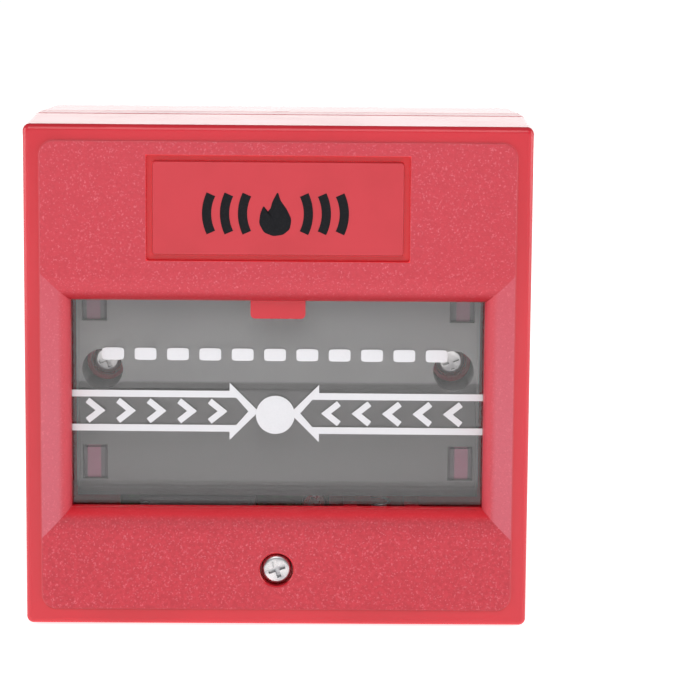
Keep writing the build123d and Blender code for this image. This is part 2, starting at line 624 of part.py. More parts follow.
lip_outer = cover_inner_half - LIP_CLEARANCE
lip_front = band_front + LIP_HEIGHT
clip_shoulder_front = inner_rear - FIT
frame_boss_front = inner_rear - FRAME_BOSS_SETBACK
frame_head_top = frame_boss_front - FRAME_HEAD_SINK
frame_head_base = frame_head_top - FRAME_HEAD_HEIGHT
with BuildPart() as middle_frame:
    chamfer_start = band_front - BAND_SEAM_CHAMFER
    add(drafted(band_rear, BODY_SIZE, chamfer_start, BODY_SIZE, SHELL_CORNER))
    add(bevelled_end(band_front, chamfer_start))
    inner_size = 2 * band_inner_half
    add(slab(inner_size, inner_size, floor_front, band_front + OVERCUT), mode=Mode.SUBTRACT)
    add(slab(inner_size, inner_size, band_rear - OVERCUT, floor_rear), mode=Mode.SUBTRACT)
    floor_root = floor_front - ROOT
    add(frame_ring(lip_outer, LIP_WALL, floor_root, lip_front))
    for side in (-1, 1):
        notch_left = side * tongue_x - TONGUE_WIDTH / 2 - TONGUE_SIDE_PLAY
        notch_right = side * tongue_x + TONGUE_WIDTH / 2 + TONGUE_SIDE_PLAY
        notch_low = body_half - HINGE_DROP - TONGUE_SWEEP
        notch_front = lip_front + OVERCUT
        notch = spans(notch_left, notch_right, notch_low, band_inner_half, floor_front, notch_front)
        add(notch, mode=Mode.SUBTRACT)
    # arms with open seats for the press plate's trunnions
    for side in (-1, 1):
        near = side * arm_inner
        far = side * (arm_inner + ARM_THICKNESS)
        left = min(near, far)
        right = max(near, far)
        arm_low = pivot_z - ARM_FOOT
        add(spans(left, right, arm_low, arm_low + ARM_WIDTH, floor_root, plate_front))
    seat = TRUNNION_RADIUS + TRUNNION_CLEARANCE
    reach = arm_inner + ARM_THICKNESS + OVERCUT
    with BuildSketch(Plane.YZ):
        with Locations((-plate_middle, pivot_z)):
            Circle(seat)
        with Locations((-plate_middle - seat, pivot_z)):
            Rectangle(2 * seat, 2 * seat)
    extrude(amount=reach, both=True, mode=Mode.SUBTRACT)
    # clips that hold the grey panel by its corner slots
    for place in slot_places:
        clip_width = SLOT_WIDTH - 2 * CLIP_CLEARANCE
        clip_height = SLOT_HEIGHT - 2 * CLIP_CLEARANCE
        shoulder_width = clip_width + 2 * CLIP_SHOULDER
        shoulder_height = clip_height + 2 * CLIP_SHOULDER
        add(slab(shoulder_width, shoulder_height, floor_root, clip_shoulder_front, place))
        add(slab(clip_width, clip_height, clip_shoulder_front - ROOT, inner_front - CLIP_SINK, place))
    # bosses for the frame screws
    for place in frame_screw_places:
        add(rod(FRAME_BOSS_RADIUS, band_rear, frame_boss_front, place))
        head_well = FRAME_HEAD_RADIUS + HEAD_CLEARANCE
        add(rod(head_well, frame_head_base, frame_boss_front + OVERCUT, place), mode=Mode.SUBTRACT)
        frame_hole = FRAME_SCREW_RADIUS + FIT
        add(rod(frame_hole, band_rear - OVERCUT, frame_boss_front, place), mode=Mode.SUBTRACT)
    # post for the cover screw's insert
    add(rod(POST_RADIUS, floor_root, post_front, (0, screw_z)))
    add(rod(INSERT_RADIUS, insert_rear, post_front + OVERCUT, (0, screw_z)), mode=Mode.SUBTRACT)
    # standoffs for the circuit board
    for place in board_screw_places:
        add(rod(STANDOFF_RADIUS, floor_root, board_rear, place))
        screw_hole = BOARD_SCREW_RADIUS + FIT
        add(rod(screw_hole, floor_rear - OVERCUT, board_rear + OVERCUT, place), mode=Mode.SUBTRACT)
    # opening for the terminal block
    opening_width = terminal_width + 2 * HEAD_CLEARANCE
    opening_height = TERMINAL_HEIGHT + 2 * HEAD_CLEARANCE
    opening_low = floor_rear - OVERCUT
    opening_high = floor_front + OVERCUT
    opening_place = (TERMINAL_CENTRE_X, terminal_z)
    opening = slab(opening_width, opening_height, opening_low, opening_high, opening_place)
    add(opening, mode=Mode.SUBTRACT)
    # rails for the reset slider, with a groove for each edge, and the shelf above its spring
    rail_middle = slider_bottom + SLIDER_TRAVEL / 2 + SLIDER_LENGTH / 2
    for side in (-1, 1):
        rail_place = (SLIDER_X + side * rail_x, rail_middle)
        add(slab(RAIL_WIDTH, RAIL_LENGTH, floor_root, rail_front, rail_place))
    groove_width = SLIDER_WIDTH + 2 * SLIDER_CLEARANCE
    groove_low = slider_height - SLIDER_THICKNESS / 2 - SLIDER_CLEARANCE
    groove_high = slider_height + SLIDER_THICKNESS / 2 + SLIDER_CLEARANCE
    groove_place = (SLIDER_X, rail_middle)
    groove = slab(groove_width, RAIL_LENGTH + 2 * OVERCUT, groove_low, groove_high, groove_place)
    add(groove, mode=Mode.SUBTRACT)
    shelf_left = SLIDER_X - SHELF_WIDTH / 2
    shelf_right = SLIDER_X + SHELF_WIDTH / 2
    shelf_top = spring_top + SHELF_THICKNESS
    add(spans(shelf_left, shelf_right, spring_top, shelf_top, floor_root, rail_front))
finish(middle_frame, "middle_frame")

with BuildPart() as frame_screws:
    for place in frame_screw_places:
        add(
            pan_head_screw(
                frame_head_top,
                FRAME_HEAD_RADIUS,
                FRAME_HEAD_HEIGHT,
                FRAME_SCREW_RADIUS,
                box_front - FRAME_SCREW_BITE,
                place,
                (RECESS_SPAN, RECESS_WIDTH, RECESS_DEPTH),
            )
        )
finish(frame_screws, "frame_screws")

# ---------------------------------------------------------------- press plate

rib_top = plate_bottom + NUB_HEIGHT
lever_face_at_nub = (
    lever_height
    + (NUB_ARM + NUB_WIDTH / 2) * tan(lever_tilt)
    + LEVER_THICKNESS / 2 / cos(lever_tilt)
)
with BuildPart() as press_plate:
    add(
        slab(
            2 * plate_half,
            plate_top - plate_bottom,
            plate_rear,
            plate_front,
            (0, (plate_top + plate_bottom) / 2),
            PLATE_CORNER,
        )
    )
    with BuildSketch(Plane.YZ.offset(-plate_half - TRUNNION_LENGTH)):
        with Locations((-plate_middle, pivot_z)):
            Circle(TRUNNION_RADIUS)
    extrude(amount=2 * (plate_half + TRUNNION_LENGTH))
    nub_left = nub_x - NUB_WIDTH / 2
    nub_right = nub_x + NUB_WIDTH / 2
    nub_end = lever_face_at_nub + NUB_GAP
    add(spans(nub_left, nub_right, plate_bottom, rib_top, nub_end, plate_rear + RIB_ROOT))
finish(press_plate, "press_plate")

# ---------------------------------------------------------------- grey inner panel

with BuildPart() as inner_panel:
    add(spans(-inner_half, inner_half, inner_bottom, inner_top, inner_rear, inner_front))
    cut_half = inner_half + OVERCUT
    cut_low = inner_bottom - OVERCUT
    cut_front = inner_front + OVERCUT
    field_face = inner_front - INNER_STEP
    add(spans(-cut_half, cut_half, cut_low, inner_step_z, field_face, cut_front), mode=Mode.SUBTRACT)
    ledge_face = field_face - INNER_LEDGE_STEP
    ledge_top = inner_bottom + INNER_LEDGE
    add(spans(-cut_half, cut_half, cut_low, ledge_top, ledge_face, cut_front), mode=Mode.SUBTRACT)
    for side in (-1, 1):
        bead_outer = side * inner_half
        bead_inner = side * (inner_half - INNER_BEAD_WIDTH)
        bead_low = min(bead_outer, bead_inner)
        bead_high = max(bead_outer, bead_inner)
        bead_front = inner_front + INNER_BEAD_RISE
        add(spans(bead_low, bead_high, ledge_top, inner_top, inner_rear, bead_front))
    for place in slot_places:
        add(slab(SLOT_WIDTH, SLOT_HEIGHT, inner_rear - OVERCUT, cut_front, place), mode=Mode.SUBTRACT)
    for place in frame_screw_places:
        collar_end = frame_boss_front + SEAM_GAP
        add(rod(WELL_RADIUS + COLLAR_WALL, collar_end, inner_rear + ROOT, place))
        add(rod(WELL_RADIUS, frame_boss_front, cut_front, place), mode=Mode.SUBTRACT)
finish(inner_panel, "inner_panel")

# ---------------------------------------------------------------- back box

box_lip_outer = band_inner_half - SEAM_GAP
box_lip_front = floor_rear - SEAM_GAP
with BuildPart() as back_box:
    add(drafted(0, wall_size, box_front, BODY_SIZE, SHELL_CORNER))
    box_cavity = 2 * (body_half - BOX_DRAFT - BOX_WALL)
    box_mouth = 2 * box_inner_half
    cavity = drafted(BOX_WALL, box_cavity, box_front + MOUTH, box_mouth, SHELL_CORNER)
    add(cavity, mode=Mode.SUBTRACT)
    add(frame_ring(box_lip_outer, LIP_WALL, box_front - 2 * LIP_HEIGHT, box_lip_front))
    for place in frame_screw_places:
        add(rod(BOX_POST_RADIUS, BOX_WALL - ROOT, box_front, place))
        pilot_end = box_front - FRAME_SCREW_BITE - OVERCUT
        add(rod(frame_hole, pilot_end, box_front + OVERCUT, place), mode=Mode.SUBTRACT)
    for place in wall_hole_places:
        boss_top = BOX_WALL + WALL_BOSS_HEIGHT
        add(rod(WALL_BOSS_RADIUS, BOX_WALL - ROOT, boss_top, place))
        add(rod(WALL_HOLE_RADIUS, -OVERCUT, boss_top + OVERCUT, place), mode=Mode.SUBTRACT)
    add(rod(CABLE_ENTRY_RADIUS, -OVERCUT, BOX_WALL + OVERCUT), mode=Mode.SUBTRACT)
    # pry slot at the top seam
    half_slot = PRY_SLOT_WIDTH / 2
    slot_floor = body_half - BOX_WALL / 2
    slot_low = box_front - PRY_SLOT_DEPTH
    slot_high = box_front + OVERCUT
    slot_side = body_half + OVERCUT
    add(spans(-half_slot, half_slot, slot_floor, slot_side, slot_low, slot_high), mode=Mode.SUBTRACT)
finish(back_box, "back_box")

# ---------------------------------------------------------------- circuit board

with BuildPart() as circuit_board:
    board_place = (BOARD_CENTRE_X, board_z)
    add(slab(BOARD_WIDTH, BOARD_HEIGHT, board_rear, board_front, board_place, BOARD_CORNER))
    hole_low = board_rear - OVERCUT
    hole_high = board_front + OVERCUT
    for place in board_screw_places:
        add(rod(screw_hole, hole_low, hole_high, place), mode=Mode.SUBTRACT)
    contact_hole = CONTACT_PIN_RADIUS + FIT
    for place in contact_places:
        add(rod(contact_hole, hole_low, hole_high, place), mode=Mode.SUBTRACT)
    terminal_hole = TERMINAL_PIN_RADIUS + FIT
    for place in terminal_places:
        add(rod(terminal_hole, hole_low, hole_high, place), mode=Mode.SUBTRACT)
finish(circuit_board, "circuit_board")

with BuildPart() as board_screws:
    for place in board_screw_places:
        add(
            pan_head_screw(
                board_front + BOARD_HEAD_HEIGHT,
                BOARD_HEAD_RADIUS,
                BOARD_HEAD_HEIGHT,
                BOARD_SCREW_RADIUS,
                board_front - BOARD_SCREW_LENGTH,
                place,
                (BOARD_RECESS_SPAN, BOARD_RECESS_WIDTH, BOARD_RECESS_DEPTH),
            )
        )
finish(board_screws, "board_screws")

# ---------------------------------------------------------------- microswitch

switch_low = switch_z - SWITCH_THICKNESS / 2
switch_high = switch_z + SWITCH_THICKNESS / 2
switch_right = SWITCH_LEFT + SWITCH_LENGTH
cap_line = switch_low + SWITCH_CAP
with BuildPart() as microswitch_base:
    add(spans(SWITCH_LEFT, switch_right, cap_line, switch_high, board_front, switch_front))
    pocket_left = SWITCH_LEFT + SWITCH_WALL
    pocket_right = switch_right - SWITCH_WALL
    pocket_low = cap_line - OVERCUT
    pocket_high = switch_high - SWITCH_WALL
    pocket_base = board_front + SWITCH_FLOOR
    pocket_front = switch_front - SWITCH_WALL
    pocket = spans(pocket_left, pocket_right, pocket_low, pocket_high, pocket_base, pocket_front)
    add(pocket, mode=Mode.SUBTRACT)
    bore = PLUNGER_RADIUS + PLUNGER_CLEARANCE
    bore_low = pocket_front - OVERCUT
    bore_high = switch_front + OVERCUT
    add(rod(bore, bore_low, bore_high, (plunger_x, switch_z)), mode=Mode.SUBTRACT)
    # lugs for the lever pin
    lug_offset = LEVER_WIDTH / 2 + LUG_GAP
    lug_planes = (switch_z - lug_offset - LUG_THICKNESS, switch_z + lug_offset)
    lug_left = lever_x - LEVER_EYE_RADIUS
    lug_right = lever_x + LEVER_EYE_RADIUS
    lug_base = switch_front - ROOT
    lug_front = lever_height + LEVER_EYE_RADIUS
    for level in lug_planes:
        add(spans(lug_left, lug_right, level, level + LUG_THICKNESS, lug_base, lug_front))
    with BuildSketch(Plane.XY.offset(switch_low - OVERCUT)):
        with Locations((lever_x, -lever_height)):
            Circle(LEVER_PIN_RADIUS)
    extrude(amount=SWITCH_THICKNESS + 2 * OVERCUT, mode=Mode.SUBTRACT)
    for place in contact_places:
        add(rod(contact_hole, board_front - OVERCUT, pocket_base + OVERCUT, place), mode=Mode.SUBTRACT)
finish(microswitch_base, "microswitch_base")

with BuildPart() as microswitch_cap:
    add(spans(SWITCH_LEFT, switch_right, switch_low, cap_line, board_front, switch_front))
finish(microswitch_cap, "microswitch_cap")

with BuildPart() as microswitch_plunger:
    add(rod(PLUNGER_RADIUS, leaf_height + PLUNGER_ROOM, plunger_tip, (plunger_x, switch_z)))
    fillet(microswitch_plunger.faces().sort_by(Axis.Y)[0].edges(), PLUNGER_ROUND)
finish(microswitch_plunger, "microswitch_plunger")

with BuildPart() as lever_pin:
    with BuildSketch(Plane.XY.offset(lug_planes[0])):
        with Locations((lever_x, -lever_height)):
            Circle(LEVER_PIN_RADIUS)
    extrude(amount=lug_planes[1] + LUG_THICKNESS - lug_planes[0])
finish(lever_pin, "lever_pin")

# The lever lies along +X from its eye, tilted forward, in a plane seen from below (local y is height)
lever_plane = Plane((lever_x, -lever_height, switch_z), x_dir=(1, 0, 0), z_dir=(0, 0, -1))
with BuildPart() as microswitch_lever:
    with BuildSketch(lever_plane):
        Circle(LEVER_EYE_RADIUS)
        with Locations(Location((0, 0, 0), (0, 0, degrees(lever_tilt)))):
            with Locations((LEVER_LENGTH / 2, 0)):
                Rectangle(LEVER_LENGTH, LEVER_THICKNESS)
        Circle(LEVER_PIN_RADIUS + LEVER_CLEARANCE, mode=Mode.SUBTRACT)
    extrude(amount=LEVER_WIDTH / 2, both=True)
finish(microswitch_lever, "microswitch_lever")

# Three contacts: a pin through the board and a tab inside the switch; the middle of the three
# carries the leaf that the plunger bends
with BuildPart() as microswitch_contacts:
    for place in contact_places:
        add(rod(CONTACT_PIN_RADIUS, board_rear - PIN_PROUD, pocket_base + NECK, place))
        add(slab(CONTACT_WIDTH, CONTACT_WIDTH, pocket_base, leaf_base, place))
finish(microswitch_contacts, "microswitch_contacts")

with BuildPart() as contact_leaf:
    leaf_left = contact_places[0][0] - CONTACT_WIDTH / 2
    leaf_right = contact_places[2][0] - CONTACT_WIDTH
    leaf_low = switch_z - CONTACT_WIDTH / 2
    leaf_high = switch_z + CONTACT_WIDTH / 2
    foot_right = leaf_left + CONTACT_WIDTH
    add(spans(leaf_left, foot_right, leaf_low, leaf_high, leaf_base, leaf_base + BLADE_THICKNESS))
    upright_right = leaf_left + BLADE_THICKNESS
    add(spans(leaf_left, upright_right, leaf_low, leaf_high, leaf_base, leaf_height))
    blade_low = leaf_height - BLADE_THICKNESS
    add(spans(leaf_left, leaf_right, leaf_low, leaf_high, blade_low, leaf_height))
finish(contact_leaf, "contact_leaf")

# ---------------------------------------------------------------- terminal block

with BuildPart() as terminal_block:
    block_place = (TERMINAL_CENTRE_X, terminal_z)
    add(slab(terminal_width, TERMINAL_HEIGHT, terminal_rear, board_rear, block_place))
    low_edge = terminal_z - TERMINAL_HEIGHT / 2
    clamp_base = board_rear - CLAMP_COVER
    clamp_rear = clamp_base - CLAMP_DEPTH
    half = WIRE_HOLE / 2
    wire_low = low_edge - OVERCUT
    wire_high = terminal_z + half
    well = TERMINAL_HEAD_RADIUS + FIT
    for place in terminal_places:
        # pocket for the clamp, open to the wire hole in the lower side and to the screw well behind
        wire_left = place[0] - half
        wire_right = place[0] + half
        wire_hole = spans(wire_left, wire_right, wire_low, wire_high, clamp_rear, clamp_base)
        add(wire_hole, mode=Mode.SUBTRACT)
        add(rod(well, terminal_rear - OVERCUT, clamp_rear + NECK, place), mode=Mode.SUBTRACT)
        add(rod(terminal_hole, clamp_base - NECK, board_rear + OVERCUT, place), mode=Mode.SUBTRACT)
finish(terminal_block, "terminal_block")

with BuildPart() as terminal_clamps:
    cage_low = clamp_rear + FIT
    cage_high = clamp_base - FIT
    slot_low = cage_low + CLAMP_NUT
    slot_high = cage_high - CLAMP_END
    slot_width = CLAMP_SIZE - 2 * CLAMP_WALL
    slot_length = CLAMP_SIZE + 2 * OVERCUT
    bore = TERMINAL_SCREW_RADIUS + FIT
    for place in terminal_places:
        add(slab(CLAMP_SIZE, CLAMP_SIZE, cage_low, cage_high, place))
        add(slab(slot_width, slot_length, slot_low, slot_high, place), mode=Mode.SUBTRACT)
        add(rod(bore, cage_low - OVERCUT, slot_low + NECK, place), mode=Mode.SUBTRACT)
finish(terminal_clamps, "terminal_clamps")

with BuildPart() as terminal_screws:
    head_low = clamp_rear - TERMINAL_HEAD_HEIGHT
    slot_reach = 2 * (TERMINAL_HEAD_RADIUS + OVERCUT)
    slot_rear = head_low - OVERCUT
    slot_floor = head_low + TERMINAL_SLOT
    for place in terminal_places:
        add(rod(TERMINAL_HEAD_RADIUS, head_low, clamp_rear, place))
        add(rod(TERMINAL_SCREW_RADIUS, clamp_rear - NECK, clamp_rear + TERMINAL_SCREW_BITE, place))
        add(slab(slot_reach, TERMINAL_SLOT, slot_rear, slot_floor, place), mode=Mode.SUBTRACT)
finish(terminal_screws, "terminal_screws")

with BuildPart() as terminal_pins:
    for place in terminal_places:
        add(rod(TERMINAL_PIN_RADIUS, cage_high, board_front + PIN_PROUD, place))
finish(terminal_pins, "terminal_pins")

# ---------------------------------------------------------------- reset slider and its spring

slider_low = slider_height - SLIDER_THICKNESS / 2
slider_high = slider_height + SLIDER_THICKNESS / 2
with BuildPart() as reset_slider:
    slider_left = SLIDER_X - SLIDER_WIDTH / 2
    slider_right = SLIDER_X + SLIDER_WIDTH / 2
    add(spans(slider_left, slider_right, slider_bottom, slider_top, slider_low, slider_high))
    with BuildSketch(Plane.XY.offset(slider_top - ROOT)):
        with Locations((SLIDER_X, -slider_height)):
            Circle(SLIDER_PIN_RADIUS)
    extrude(amount=SLIDER_PIN_LENGTH + ROOT)
finish(reset_slider, "reset_slider")

coil_height = SPRING_LENGTH - 2 * SPRING_WIRE
with BuildPart() as reset_spring:
    with BuildLine(Plane((SLIDER_X, -slider_height, slider_top + SPRING_WIRE))) as coil:
        Helix(SPRING_PITCH, coil_height, SPRING_RADIUS - SPRING_WIRE)
    with BuildSketch(coil.line ^ 0):
        Circle(SPRING_WIRE)
    sweep(is_frenet=True)
finish(reset_spring, "reset_spring")
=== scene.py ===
"""Looks of a surface-mounted manual call point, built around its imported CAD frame.

Sections follow the object from the wall to the front: back box, middle frame, screws, circuit board with
microswitch and terminals, reset slider, grey panel, press plate, cover, label, then the studio around it.
"""

from math import cos, radians, sin, tau

import bpy
import numpy as np
from mathutils import Matrix, Vector


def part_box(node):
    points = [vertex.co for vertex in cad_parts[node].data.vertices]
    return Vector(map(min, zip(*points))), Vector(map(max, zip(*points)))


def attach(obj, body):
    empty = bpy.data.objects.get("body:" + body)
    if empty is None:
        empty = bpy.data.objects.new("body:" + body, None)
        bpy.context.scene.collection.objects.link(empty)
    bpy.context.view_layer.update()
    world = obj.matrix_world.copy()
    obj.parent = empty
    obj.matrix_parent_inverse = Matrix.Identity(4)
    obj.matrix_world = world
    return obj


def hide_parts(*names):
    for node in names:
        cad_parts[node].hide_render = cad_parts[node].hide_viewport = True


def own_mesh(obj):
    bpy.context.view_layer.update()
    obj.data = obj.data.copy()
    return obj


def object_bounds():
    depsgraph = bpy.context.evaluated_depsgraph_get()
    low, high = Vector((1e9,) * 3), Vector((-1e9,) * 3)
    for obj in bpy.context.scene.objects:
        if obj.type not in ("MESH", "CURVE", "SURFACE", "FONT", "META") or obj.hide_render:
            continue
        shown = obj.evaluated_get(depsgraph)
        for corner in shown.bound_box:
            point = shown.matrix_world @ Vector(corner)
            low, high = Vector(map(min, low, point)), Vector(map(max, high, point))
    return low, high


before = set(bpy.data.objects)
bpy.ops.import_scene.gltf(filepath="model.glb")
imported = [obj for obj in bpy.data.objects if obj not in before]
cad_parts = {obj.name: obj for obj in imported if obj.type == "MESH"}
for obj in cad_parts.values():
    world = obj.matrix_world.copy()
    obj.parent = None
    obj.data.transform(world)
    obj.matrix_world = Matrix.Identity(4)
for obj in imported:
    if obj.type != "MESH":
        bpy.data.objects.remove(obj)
cad_low, cad_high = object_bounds()

# ---------------------------------------------------------------- back box
# Square tray that is screwed to the wall: smooth injection-moulded red ABS, glossy, with the slight
# waviness and the faint flow marks of a moulded wall.  The shared tools for finishes start here.

MM = 0.001


class Wire:
    """One output in a finish's nodes; plain arithmetic on it adds the Math nodes."""

    def __init__(self, finish, socket):
        self.finish = finish
        self.socket = socket

    def maths(self, operation, first, second):
        return self.finish.node("ShaderNodeMath", {"operation": operation}, {0: first, 1: second})

    def __add__(self, other):
        return self.maths("ADD", self, other)

    def __sub__(self, other):
        return self.maths("SUBTRACT", self, other)

    def __rsub__(self, other):
        return self.maths("SUBTRACT", other, self)

    def __mul__(self, other):
        return self.maths("MULTIPLY", self, other)

    def __truediv__(self, other):
        return self.maths("DIVIDE", self, other)

    def __pow__(self, other):
        return self.maths("POWER", self, other)

    def __abs__(self):
        return self.maths("ABSOLUTE", self, 0.0)

    def larger(self, other):
        return self.maths("MAXIMUM", self, other)

    def fraction(self):
        return self.maths("FRACT", self, 0.0)

    __radd__ = __add__
    __rmul__ = __mul__


class Finish:
    """A finish made of nodes around one Principled shader, laid out in object coordinates."""

    def __init__(self, name, **sockets):
        self.material = bpy.data.materials.new(name)
        self.material.use_nodes = True
        self.tree = self.material.node_tree
        self.shader = self.tree.nodes["Principled BSDF"]
        self.place = self.node("ShaderNodeTexCoord", {}, {}, "Object")
        self.set(sockets)

    def feed(self, socket, value):
        if isinstance(value, Wire):
            self.tree.links.new(value.socket, socket)
        elif socket.type == "RGBA":
            socket.default_value = (*value, 1.0)
        else:
            socket.default_value = value

    def set(self, sockets):
        for name, value in sockets.items():
            self.feed(self.shader.inputs[name.replace("_", " ")], value)

    def node(self, kind, settings, sockets, output=0):
        """Any node: its type, its settings, then the values or links of its sockets."""
        made = self.tree.nodes.new(kind)
        for name, value in settings.items():
            setattr(made, name, value)
        for name, value in sockets.items():
            self.feed(made.inputs[name], value)
        return Wire(self, made.outputs[output])

    def axes(self):
        """The three object coordinates as separate wires."""
        split = self.node("ShaderNodeSeparateXYZ", {}, {"Vector": self.place}).socket.node
        return [Wire(self, socket) for socket in split.outputs]

    def noise(self, grain, detail=2.0, stretch=(1.0, 1.0, 1.0)):
        """Cloudy noise from 0 to 1 whose lumps are about as large as the grain, in metres."""
        place = self.node("ShaderNodeMapping", {}, {"Vector": self.place, "Scale": stretch})
        sockets = {"Vector": place, "Scale": 1 / grain, "Detail": detail}
        return self.node("ShaderNodeTexNoise", {}, sockets)

    def rise(self, value, low, high):
        """0 up to low, 1 from high on, smooth between."""
        sockets = {"Value": value, "From Min": low, "From Max": high}
        return self.node("ShaderNodeMapRange", {"interpolation_type": "SMOOTHSTEP"}, sockets)

    def blend(self, share, first, second):
        """Colour that goes from first to second with a share from 0 to 1."""
        return self.node("ShaderNodeMix", {"data_type": "RGBA"}, {"Factor": share, 6: first, 7: second}, 2)

    def bump(self, height, depth, strength=1.0, over=None):
        """Surface normal pushed by a height map, depth metres from its black to its white."""
        sockets = {"Height": height, "Distance": depth, "Strength": strength}
        if over is not None:
            sockets["Normal"] = over
        return self.node("ShaderNodeBump", {}, sockets)


def dress(finish, *names):
    """Puts a finish on CAD nodes, in place of the plain one that they arrive with."""
    for name in names:
        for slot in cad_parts[name].material_slots:
            slot.material = finish.material


RED = (0.575, 0.017, 0.031)
RED_DEEP = (0.515, 0.014, 0.026)


def moulded_red(name, roughness):
    """Glossy red ABS: broad flow marks in its colour, fine waviness in its surface."""
    skin = Finish(name, IOR=1.53)
    flow = skin.noise(14 * MM, 3.0, (1.0, 1.0, 0.35))
    dust = skin.noise(0.5 * MM, 3.0)
    skin.set(
        {
            "Base Color": skin.blend(skin.rise(flow + 0.12 * dust, 0.42, 0.80), RED, RED_DEEP),
            "Roughness": roughness + 0.03 * dust + 0.05 * flow,
            "Normal": skin.bump(skin.noise(1.1 * MM, 2.0), 0.012 * MM, 0.5),
        }
    )
    return skin


dress(moulded_red("red_box", 0.20), "back_box")

# ---------------------------------------------------------------- middle frame
# Second red shell, screwed to the back box.  Its visible band is polished like the box; it carries the arms
# of the press plate, the board posts, the slider's rails and the clips of the grey panel.  The clips' ends
# are painted in shade, a dull mauve that is darker still beside a middle strip, where they sit in shadow
# behind the plate.

CLIP_START = 39.8 * MM      # height above the wall where the clips' ends, painted in shade, begin
CLIP_SPREAD = 34.2 * MM     # everything nearer the middle at that height is a clip
CLIP_MIDDLE = 31.7 * MM     # middle of the strip on each clip end that keeps the mauve painted shade; beside it the painted shade is darker
CLIP_HALF = 1.1 * MM
frame_red = moulded_red("red_frame", 0.22)
frame_x, frame_y, _ = frame_red.axes()
raised = frame_red.rise(frame_y, -CLIP_START, -CLIP_START - 0.3 * MM)
clip_end = raised * frame_red.rise(abs(frame_x), CLIP_SPREAD + 0.2 * MM, CLIP_SPREAD)
frame_colour = Wire(frame_red, frame_red.shader.inputs["Base Color"].links[0].from_socket)
# painted shade on the clip ends: dull mauve, and near black outside the middle strip
clip_shade = frame_red.blend(frame_red.noise(0.8 * MM, 3.0), (0.19, 0.058, 0.100), (0.27, 0.082, 0.135))
off_strip = abs(abs(frame_x) - CLIP_MIDDLE)
off_strip = frame_red.rise(off_strip, CLIP_HALF - 0.1 * MM, CLIP_HALF + 0.2 * MM)
clip_shade = frame_red.blend(off_strip, clip_shade, (0.060, 0.048, 0.056))
frame_red.set({"Base Color": frame_red.blend(clip_end, frame_colour, clip_shade)})
dress(frame_red, "middle_frame")

# ---------------------------------------------------------------- screws and turned parts
# Pan-head screws in bright zinc plate with the fine rings left by turning, a turned brass insert
# pressed into the frame's post, and the nylon washer that keeps the cover screw in its boss.


def turned_metal(name, colour, shadow, roughness, ring):
    """Plated or bare metal: rings across its axis, cloudy tarnish, fine pits."""
    metal = Finish(name, Metallic=1.0)
    cloud = metal.noise(1.6 * MM, 3.0)
    lathe = metal.noise(ring, 2.0, (1.0, 9.0, 1.0))
    metal.set(
        {
            "Base Color": metal.blend(metal.rise(cloud, 0.35, 0.75), colour, shadow),
            "Roughness": roughness + 0.16 * cloud + 0.10 * lathe,
            "Normal": metal.bump(lathe, 0.010 * MM, 0.6),
        }
    )
    return metal


zinc = turned_metal("zinc_plate", (0.66, 0.65, 0.65), (0.36, 0.36, 0.38), 0.15, 0.35 * MM)
# the frame screws get a paler, whiter copy of the zinc: painted highlight standing in for the lamp's
# reflection on their heads
zinc_painted_highlight = turned_metal("zinc_painted_highlight", (0.96, 0.95, 0.95), (0.80, 0.79, 0.80), 0.20, 0.35 * MM)
brass = turned_metal("turned_brass", (0.80, 0.58, 0.26), (0.60, 0.40, 0.16), 0.22, 0.30 * MM)
tin = turned_metal("tinned_copper", (0.74, 0.74, 0.73), (0.58, 0.57, 0.55), 0.30, 0.25 * MM)
spring_steel = turned_metal("spring_steel", (0.58, 0.58, 0.60), (0.40, 0.40, 0.43), 0.24, 0.20 * MM)
dress(zinc, "board_screws", "cover_screw", "terminal_screws")
dress(zinc_painted_highlight, "frame_screws")
dress(brass, "screw_insert", "microswitch_contacts", "contact_leaf", "terminal_clamps")
dress(tin, "terminal_pins")
dress(spring_steel, "microswitch_lever", "lever_pin")


def moulded(name, colour, shade, roughness, grain, depth=0.02 * MM, **sockets):
    """Plain technical plastic: fine moulded grain, mottled colour."""
    skin = Finish(name, **sockets)
    fine = skin.noise(grain, 3.0)
    mottle = skin.noise(12 * grain, 2.0)
    skin.set(
        {
            "Base Color": skin.blend(skin.rise(mottle + 0.3 * fine, 0.45, 0.85), colour, shade),
            "Roughness": roughness + 0.14 * fine,
            "Normal": skin.bump(fine, depth, 0.6),
        }
    )
    return skin


dress(moulded("natural_nylon", (0.74, 0.71, 0.62), (0.66, 0.62, 0.52), 0.36, 0.3 * MM), "screw_retainer")

# ---------------------------------------------------------------- circuit board
# Glass-epoxy board under green solder resist: copper runs show through as lighter green, and the weave
# of the glass cloth gives the surface its fine square pattern.  Three small screws hold it.

resist = Finish("solder_resist", IOR=1.5)
board_x, _, board_z = resist.axes()
board_low, board_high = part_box("circuit_board")
WEAVE = 0.55 * MM
TRACK_PITCH = 2.54 * MM
board_middle = (board_low + board_high) / 2
weave = resist.node("ShaderNodeTexBrick", {"offset": 0.5}, {"Vector": resist.place, "Scale": 1 / WEAVE}, 1)
run_wave = abs((board_x - board_middle.x) / TRACK_PITCH).fraction()
bend_wave = abs((board_z - board_middle.z) / (3 * TRACK_PITCH)).fraction()
track = resist.rise(abs(run_wave - 0.5), 0.24, 0.18) * resist.rise(bend_wave, 0.12, 0.16)
resist.set(
    {
        "Base Color": resist.blend(track, (0.006, 0.065, 0.024), (0.018, 0.13, 0.045)),
        "Roughness": 0.24 + 0.16 * resist.noise(0.8 * MM, 3.0),
        "Normal": resist.bump(track + 0.12 * weave, 0.035 * MM, 0.8),
    }
)
dress(resist, "circuit_board")

# ---------------------------------------------------------------- microswitch
# Snap-action switch soldered to the board: black thermoplastic case and cap, a red acetal plunger and a
# bent spring-steel lever on a pin.  Three brass contacts come through its floor.

